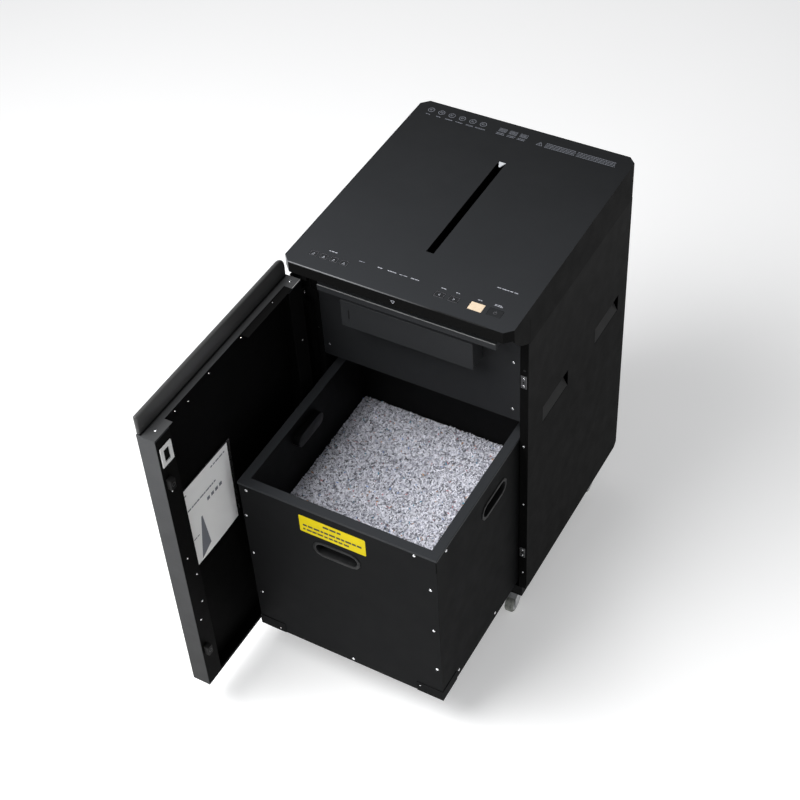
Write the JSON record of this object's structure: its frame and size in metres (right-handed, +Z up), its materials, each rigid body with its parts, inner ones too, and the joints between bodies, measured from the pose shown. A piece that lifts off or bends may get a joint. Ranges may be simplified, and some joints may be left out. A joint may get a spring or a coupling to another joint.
{
  "type": "paper shredder",
  "caption": "Floor-standing office paper shredder: top feed slot and keys, hinged front door, pull-out bin of cut paper, twin cutter rolls with gear drive, swivel casters.",
  "frame": {"origin": "on the floor, under the centre of the box round the whole object at rest", "axes": "+Z up, -Y out of the front, +X to the right as seen from the front"},
  "size_m": [0.5358, 1.0492, 0.948],
  "materials": {
    "cover": "matt black fine-textured coat",
    "paint": "black powder coat, fine texture",
    "strip": "mid grey coat",
    "moulding": "moulded black",
    "key": "printed key",
    "lit_key": "lit, peach",
    "steel": "plain steel",
    "white": "moulded white",
    "magnet": "dark grey catch",
    "motor": "grey metallic",
    "board": "green board",
    "shreds": "loose cut paper",
    "wheel": "grey tread"
  },
  "bodies": {
    "cabinet": {"back_panel": "paint", "base_pan": "paint", "bin_rail_left": "steel", "bin_rail_right": "steel", "control_board": "board", "cutter_plate_front": "steel", "cutter_plate_rear": "steel", "door_stop_bar": "paint", "feed_throat": "moulding", "front_post_left": "paint", "front_post_right": "paint", "hinge_bracket_lower": "paint", "hinge_bracket_upper": "paint", "latch_cover": "paint", "mechanism_panel": "paint", "motor_housing": "motor", "power_inlet": "moulding", "side_panel_left": "paint", "side_panel_right": "paint", "strike_plate_lower": "steel", "strike_plate_upper": "steel", "top_cover": "cover"},
    "door": {"door_shell": "paint", "door_liner": "paint", "door_strip": "strip", "door_lip": "moulding", "latch_receiver": "white", "catch_magnet_upper": "magnet", "catch_magnet_lower": "magnet", "hinge_leaf_upper": "paint", "hinge_leaf_lower": "paint"},
    "bin": {"bin_shell": "paint", "bin_rim": "moulding", "bin_handle_front": "moulding", "bin_handle_left": "moulding", "bin_handle_right": "moulding", "bin_runner_left": "steel", "bin_runner_right": "steel", "shredded_paper": "shreds"},
    "mode_key_1": {"mode_key_1": "key"},
    "mode_key_2": {"mode_key_2": "key"},
    "mode_key_3": {"mode_key_3": "key"},
    "mode_key_4": {"mode_key_4": "key"},
    "reverse_key": {"reverse_key": "key"},
    "forward_key": {"forward_key": "key"},
    "start_key": {"start_key": "lit_key"},
    "power_key": {"power_key": "key"},
    "cutter_left": {"cutter_left": "steel", "cluster_gear_left": "steel"},
    "cutter_right": {"cutter_right": "steel", "sync_gear_right": "steel"},
    "motor_rotor": {"motor_rotor": "steel"},
    "caster_front_left_fork": {"caster_front_left_fork": "steel"},
    "caster_front_left_wheel": {"caster_front_left_wheel": "wheel"},
    "caster_front_right_fork": {"caster_front_right_fork": "steel"},
    "caster_front_right_wheel": {"caster_front_right_wheel": "wheel"},
    "caster_rear_left_fork": {"caster_rear_left_fork": "steel"},
    "caster_rear_left_wheel": {"caster_rear_left_wheel": "wheel"},
    "caster_rear_right_fork": {"caster_rear_right_fork": "steel"},
    "caster_rear_right_wheel": {"caster_rear_right_wheel": "wheel"}
  },
  "joints": [
    {"name": "door_hinge", "type": "hinge", "parent": "cabinet", "child": "door", "pos_m": [-0.24063, -0.01589, 0.1008], "axis": [0, 0, -1], "range_deg": [-5, 29.3]},
    {"name": "bin_slide", "type": "slide", "parent": "cabinet", "child": "bin", "axis": [0, 1, 0], "range_m": [0, 0.356]},
    {"name": "mode_key_1_press", "type": "slide", "parent": "cabinet", "child": "mode_key_1", "axis": [0, 0, -1], "range_m": [0, 0.0012], "stiffness_N_per_m": 300},
    {"name": "mode_key_2_press", "type": "slide", "parent": "cabinet", "child": "mode_key_2", "axis": [0, 0, -1], "range_m": [0, 0.0012], "stiffness_N_per_m": 300},
    {"name": "mode_key_3_press", "type": "slide", "parent": "cabinet", "child": "mode_key_3", "axis": [0, 0, -1], "range_m": [0, 0.0012], "stiffness_N_per_m": 300},
    {"name": "mode_key_4_press", "type": "slide", "parent": "cabinet", "child": "mode_key_4", "axis": [0, 0, -1], "range_m": [0, 0.0012], "stiffness_N_per_m": 300},
    {"name": "reverse_key_press", "type": "slide", "parent": "cabinet", "child": "reverse_key", "axis": [0, 0, -1], "range_m": [0, 0.0012], "stiffness_N_per_m": 300},
    {"name": "forward_key_press", "type": "slide", "parent": "cabinet", "child": "forward_key", "axis": [0, 0, -1], "range_m": [0, 0.0012], "stiffness_N_per_m": 300},
    {"name": "start_key_press", "type": "slide", "parent": "cabinet", "child": "start_key", "axis": [0, 0, -1], "range_m": [0, 0.0012], "stiffness_N_per_m": 300},
    {"name": "power_key_press", "type": "slide", "parent": "cabinet", "child": "power_key", "axis": [0, 0, -1], "range_m": [0, 0.0012], "stiffness_N_per_m": 300},
    {"name": "cutter_left_turn", "type": "hinge", "parent": "cabinet", "child": "cutter_left", "pos_m": [-0.00288, 0.23411, 0.863], "axis": [0, 1, 0], "continuous": true},
    {"name": "cutter_right_turn", "type": "hinge", "parent": "cabinet", "child": "cutter_right", "pos_m": [0.04662, 0.23411, 0.863], "axis": [0, 1, 0], "continuous": true},
    {"name": "motor_turn", "type": "hinge", "parent": "cabinet", "child": "motor_rotor", "pos_m": [-0.07788, 0.41961, 0.863], "axis": [0, 1, 0], "continuous": true},
    {"name": "caster_front_left_swivel", "type": "hinge", "parent": "cabinet", "child": "caster_front_left_fork", "pos_m": [-0.19313, 0.04461, 0.062], "axis": [0, 0, 1], "continuous": true},
    {"name": "caster_front_left_roll", "type": "hinge", "parent": "caster_front_left_fork", "child": "caster_front_left_wheel", "pos_m": [-0.19313, 0.02261, 0.022], "axis": [1, 0, 0], "continuous": true},
    {"name": "caster_front_right_swivel", "type": "hinge", "parent": "cabinet", "child": "caster_front_right_fork", "pos_m": [0.22887, 0.04461, 0.062], "axis": [0, 0, 1], "continuous": true},
    {"name": "caster_front_right_roll", "type": "hinge", "parent": "caster_front_right_fork", "child": "caster_front_right_wheel", "pos_m": [0.22887, 0.02261, 0.022], "axis": [1, 0, 0], "continuous": true},
    {"name": "caster_rear_left_swivel", "type": "hinge", "parent": "cabinet", "child": "caster_rear_left_fork", "pos_m": [-0.19313, 0.44961, 0.062], "axis": [0, 0, 1], "continuous": true},
    {"name": "caster_rear_left_roll", "type": "hinge", "parent": "caster_rear_left_fork", "child": "caster_rear_left_wheel", "pos_m": [-0.19313, 0.42761, 0.022], "axis": [1, 0, 0], "continuous": true},
    {"name": "caster_rear_right_swivel", "type": "hinge", "parent": "cabinet", "child": "caster_rear_right_fork", "pos_m": [0.22887, 0.44961, 0.062], "axis": [0, 0, 1], "continuous": true},
    {"name": "caster_rear_right_roll", "type": "hinge", "parent": "caster_rear_right_fork", "child": "caster_rear_right_wheel", "pos_m": [0.22887, 0.42761, 0.022], "axis": [1, 0, 0], "continuous": true}
  ],
  "couplings": [
    {"joint": "cutter_right_turn", "follows": "cutter_left_turn", "ratio": -1},
    {"joint": "motor_turn", "follows": "cutter_left_turn", "ratio": -4}
  ]
}
